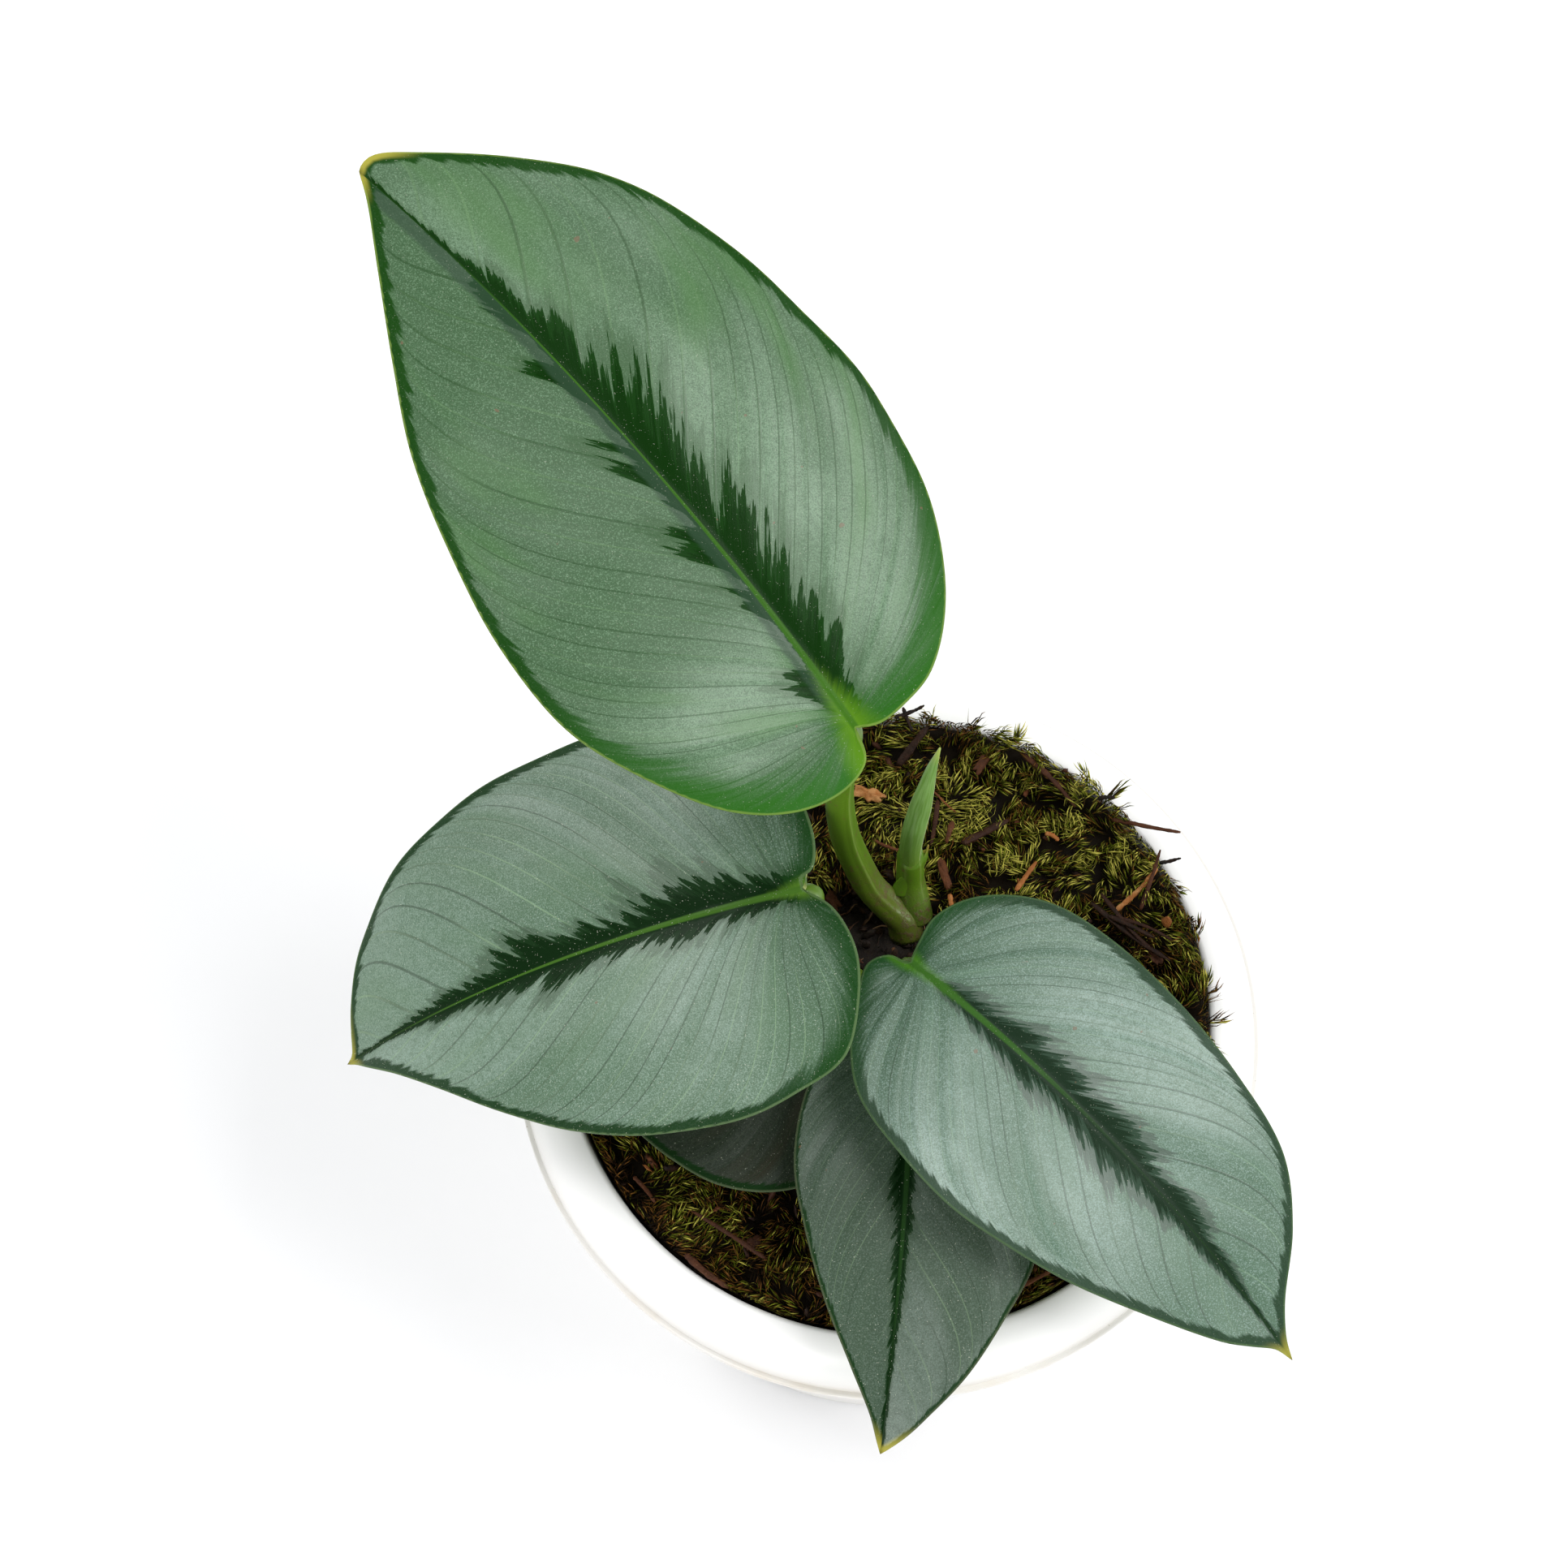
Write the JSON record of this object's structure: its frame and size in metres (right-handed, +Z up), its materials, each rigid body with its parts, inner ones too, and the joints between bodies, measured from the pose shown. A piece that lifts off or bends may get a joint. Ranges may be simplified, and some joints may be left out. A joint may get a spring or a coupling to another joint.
{
  "type": "potted moonlight scindapsus",
  "caption": "Young aroid with thick silver-green leaves on short petioles, rooted in moss-topped potting mix in a round white plastic pot with a rolled collar.",
  "frame": {"origin": "centre of the underside of the pot, on the plane that the pot stands on", "axes": "+Z up along the pot's axis, -Y towards the viewer of the picture, +X to the viewer's right"},
  "size_m": [0.1535, 0.1852, 0.1835],
  "materials": {
    "pot_plastic": "satin",
    "potting_mix": "matte",
    "moss": "matte",
    "green_stem": "satin",
    "silver_blade": "satin",
    "root": "matte",
    "bark_litter": "matte"
  },
  "bodies": {
    "root": {"pot": "pot_plastic", "potting_mix": "potting_mix", "moss_cushion_1": "moss", "moss_cushion_2": "moss", "moss_cushion_3": "moss", "moss_cushion_4": "moss", "moss_cushion_5": "moss", "moss_cushion_6": "moss", "main_stem": "green_stem", "petiole_crown": "green_stem", "petiole_left": "green_stem", "petiole_right": "green_stem", "petiole_front": "green_stem", "petiole_low": "green_stem", "shoot_sheath": "green_stem", "rolled_leaf": "green_stem", "blade_crown": "silver_blade", "blade_left": "silver_blade", "blade_right": "silver_blade", "blade_front": "silver_blade", "blade_low": "silver_blade", "root_1": "root", "root_2": "root", "root_3": "root", "root_4": "root", "root_5": "root", "root_6": "root", "needle_1": "bark_litter", "needle_2": "bark_litter", "needle_3": "bark_litter", "needle_4": "bark_litter", "needle_5": "bark_litter", "twig_1": "bark_litter", "twig_2": "bark_litter", "twig_3": "bark_litter", "bark_chip_1": "bark_litter", "bark_chip_2": "bark_litter", "bark_chip_3": "bark_litter"}
  },
  "joints": []
}
